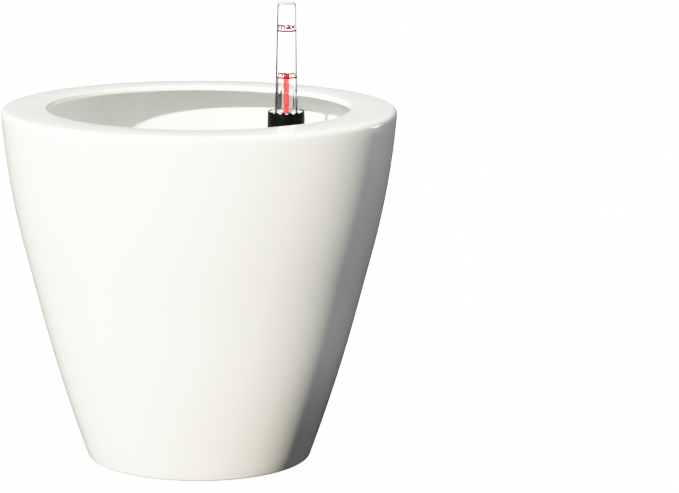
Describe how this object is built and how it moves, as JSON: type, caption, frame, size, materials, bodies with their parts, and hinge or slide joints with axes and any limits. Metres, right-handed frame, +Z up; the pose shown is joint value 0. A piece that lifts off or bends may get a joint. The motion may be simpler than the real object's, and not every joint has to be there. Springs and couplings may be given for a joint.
{
  "type": "self watering planter",
  "caption": "Round tapering planter pot with an inward rim, a perforated separator over a water reservoir, a filler shaft, a float level gauge and a drain plug.",
  "frame": {"origin": "middle of the face the pot stands on", "axes": "+Z up along the pot's axis, -Y the front, +X to the right"},
  "size_m": [0.2801, 0.2801, 0.3223],
  "materials": {
    "pot_white": "high gloss lacquer",
    "black_plastic": "satin moulded",
    "grey_plastic": "fine moulded texture",
    "clear_plastic": "clear, polished",
    "guide_plastic": "natural, polished",
    "red_plastic": "gloss",
    "float_white": "satin",
    "rubber_seal": "matt"
  },
  "bodies": {
    "pot": {"planter_shell": "pot_white", "planter_rim": "pot_white", "planter_floor": "pot_white"},
    "drain_seal": {"drain_plug_seal": "rubber_seal"},
    "drain_plug": {"drain_plug": "black_plastic"},
    "separator": {"separator_plate": "grey_plastic", "wick_cup_back_left": "grey_plastic", "wick_cup_front_left": "grey_plastic", "wick_cup_front_right": "grey_plastic", "float_cage": "grey_plastic", "float_cage_cap": "grey_plastic"},
    "shaft": {"filler_shaft": "black_plastic"},
    "gauge": {"gauge_collar": "black_plastic", "gauge_tube": "clear_plastic", "rod_guide": "guide_plastic"},
    "float": {"float_rod": "red_plastic", "rod_stop": "black_plastic", "float_shell": "float_white", "float_cap": "float_white"}
  },
  "joints": [
    {"name": "separator_lift", "type": "slide", "parent": "pot", "child": "separator", "axis": [0, 0, 1], "range_m": [0, 0.25]},
    {"name": "shaft_lift", "type": "slide", "parent": "separator", "child": "shaft", "axis": [0, 0, 1], "range_m": [0, 0.02]},
    {"name": "gauge_lift", "type": "slide", "parent": "shaft", "child": "gauge", "axis": [0, 0, 1], "range_m": [0, 0.232]},
    {"name": "float_lift", "type": "slide", "parent": "gauge", "child": "float", "axis": [0, 0, 1], "range_m": [0, 0.048]},
    {"name": "plug_travel", "type": "slide", "parent": "pot", "child": "drain_seal", "axis": [0, 0, -1], "range_m": [0, 0.008]},
    {"name": "plug_turn", "type": "hinge", "parent": "drain_seal", "child": "drain_plug", "pos_m": [0, 0, 0.004], "axis": [0, 0, -1], "range_deg": [0, 360]}
  ],
  "couplings": [
    {"joint": "plug_turn", "follows": "plug_travel", "rad_per_m": 785.39}
  ]
}
